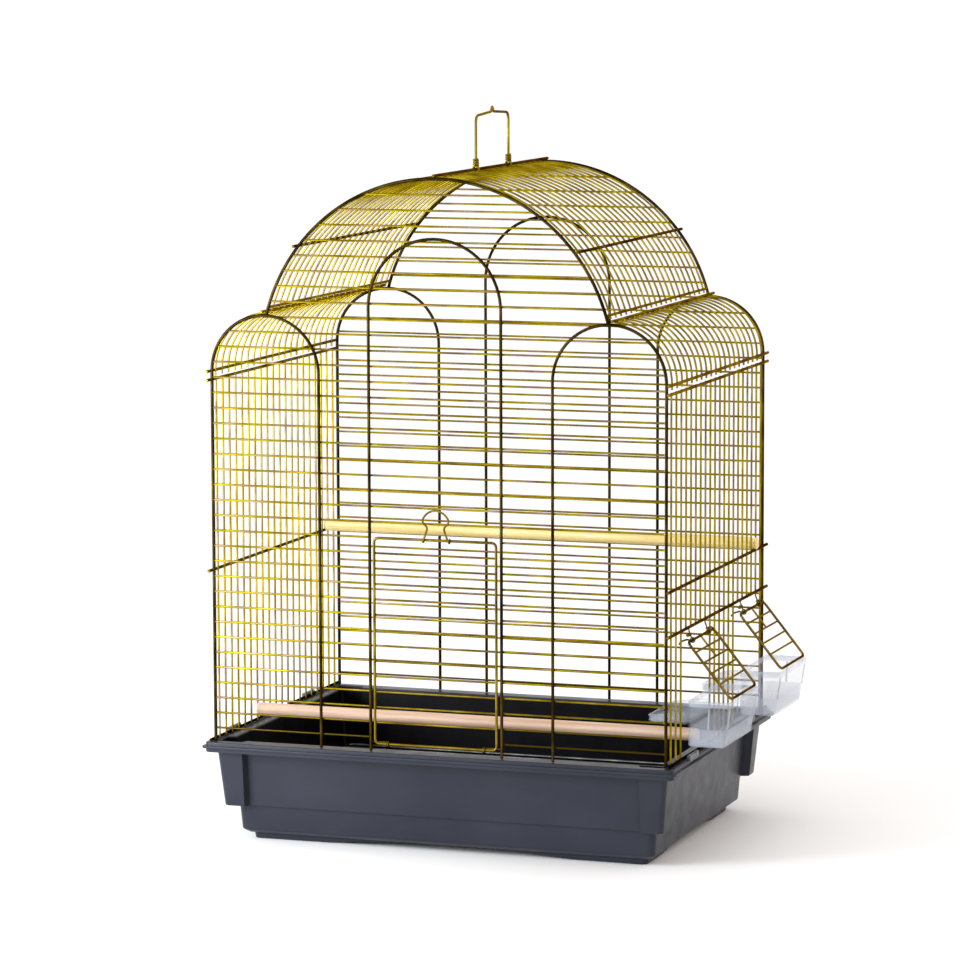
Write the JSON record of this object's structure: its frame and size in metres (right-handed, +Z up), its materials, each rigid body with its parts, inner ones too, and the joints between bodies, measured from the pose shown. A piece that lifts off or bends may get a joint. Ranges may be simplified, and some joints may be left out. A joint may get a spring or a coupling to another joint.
{
  "type": "wire bird cage",
  "caption": "Arch-topped brass-wire bird cage on a deep dark plastic tray, with a front door, side feeders, perches and a carrying handle.",
  "frame": {"origin": "on the ground, under the centre of the whole object's box", "axes": "+Z up; -Y is the front with the door; +X is the side with the two feeders"},
  "size_m": [0.523, 0.36, 0.7182],
  "materials": {
    "brass_wire": "satin",
    "stiffener_wire": "satin",
    "tray_plastic": "satin",
    "grille_wire": "satin",
    "clear_plastic": "gloss",
    "clip_plastic": "satin",
    "pine": "matte",
    "beech": "matte"
  },
  "bodies": {
    "tray": {"tray_base": "tray_plastic"},
    "floor_grille": {"floor_grille": "grille_wire"},
    "cage": {"front_panel": "brass_wire", "back_panel": "brass_wire", "front_arch_centre": "stiffener_wire", "front_arch_right": "stiffener_wire", "front_arch_left": "stiffener_wire", "back_arch_centre": "stiffener_wire", "back_arch_right": "stiffener_wire", "back_arch_left": "stiffener_wire", "side_panel_right": "brass_wire", "side_panel_left": "brass_wire", "shoulder_right_lower": "brass_wire", "shoulder_right_upper": "brass_wire", "shoulder_left_lower": "brass_wire", "shoulder_left_upper": "brass_wire", "roof_right_lower": "brass_wire", "roof_right_upper": "brass_wire", "roof_top": "brass_wire", "roof_left_upper": "brass_wire", "roof_left_lower": "brass_wire", "ridge_bar": "stiffener_wire", "roof_bar_right": "stiffener_wire", "roof_bar_left": "stiffener_wire", "side_rail_right": "stiffener_wire", "side_rail_left": "stiffener_wire", "hatch_rail": "stiffener_wire", "perch_upper": "pine", "perch_lower": "beech"},
    "front_door": {"front_door": "brass_wire"},
    "door_latch": {"door_latch": "stiffener_wire"},
    "handle": {"handle": "brass_wire"},
    "feeder_hatch_front": {"feeder_hatch_front": "brass_wire"},
    "feeder_front": {"feeder_front": "clear_plastic"},
    "feeder_hatch_rear": {"feeder_hatch_rear": "brass_wire"},
    "feeder_rear": {"feeder_rear": "clear_plastic"},
    "tray_clip_front_right": {"tray_clip_front_right": "clip_plastic"},
    "tray_clip_front_left": {"tray_clip_front_left": "clip_plastic"},
    "tray_clip_back_right": {"tray_clip_back_right": "clip_plastic"},
    "tray_clip_back_left": {"tray_clip_back_left": "clip_plastic"}
  },
  "joints": [
    {"name": "floor_grille_lift", "type": "slide", "parent": "tray", "child": "floor_grille", "axis": [0, 0, 1], "range_m": [0, 0.06]},
    {"name": "cage_lift", "type": "slide", "parent": "tray", "child": "cage", "axis": [0, 0, 1], "range_m": [0, 0.15]},
    {"name": "front_door_hinge", "type": "hinge", "parent": "cage", "child": "front_door", "pos_m": [-0.01951, -0.1724, 0.1085], "axis": [1, 0, 0], "range_deg": [0, 90]},
    {"name": "door_latch_pivot", "type": "hinge", "parent": "front_door", "child": "door_latch", "pos_m": [-0.01751, -0.1756, 0.3092], "axis": [1, 0, 0], "range_deg": [0, 45], "stiffness_Nm_per_rad": 0.01},
    {"name": "handle_pivot", "type": "hinge", "parent": "cage", "child": "handle", "pos_m": [-0.01951, 0, 0.6579], "axis": [0, 1, 0], "range_deg": [-80, 80]},
    {"name": "feeder_hatch_front_hinge", "type": "hinge", "parent": "cage", "child": "feeder_hatch_front", "pos_m": [0.21689, -0.07425, 0.214], "axis": [0, -1, 0], "range_deg": [0, 100]},
    {"name": "feeder_front_slide", "type": "slide", "parent": "cage", "child": "feeder_front", "axis": [1, 0, 0], "range_m": [0, 0.06]},
    {"name": "feeder_hatch_rear_hinge", "type": "hinge", "parent": "cage", "child": "feeder_hatch_rear", "pos_m": [0.21689, 0.10725, 0.214], "axis": [0, -1, 0], "range_deg": [0, 100]},
    {"name": "feeder_rear_slide", "type": "slide", "parent": "cage", "child": "feeder_rear", "axis": [1, 0, 0], "range_m": [0, 0.06]},
    {"name": "tray_clip_front_right_hinge", "type": "hinge", "parent": "tray", "child": "tray_clip_front_right", "pos_m": [0.21889, -0.104, 0.0983], "axis": [0, 1, 0], "range_deg": [0, 60]},
    {"name": "tray_clip_front_left_hinge", "type": "hinge", "parent": "tray", "child": "tray_clip_front_left", "pos_m": [-0.25791, -0.104, 0.0983], "axis": [0, -1, 0], "range_deg": [0, 60]},
    {"name": "tray_clip_back_right_hinge", "type": "hinge", "parent": "tray", "child": "tray_clip_back_right", "pos_m": [0.21889, 0.098, 0.0983], "axis": [0, 1, 0], "range_deg": [0, 60]},
    {"name": "tray_clip_back_left_hinge", "type": "hinge", "parent": "tray", "child": "tray_clip_back_left", "pos_m": [-0.25791, 0.098, 0.0983], "axis": [0, -1, 0], "range_deg": [0, 60]}
  ]
}
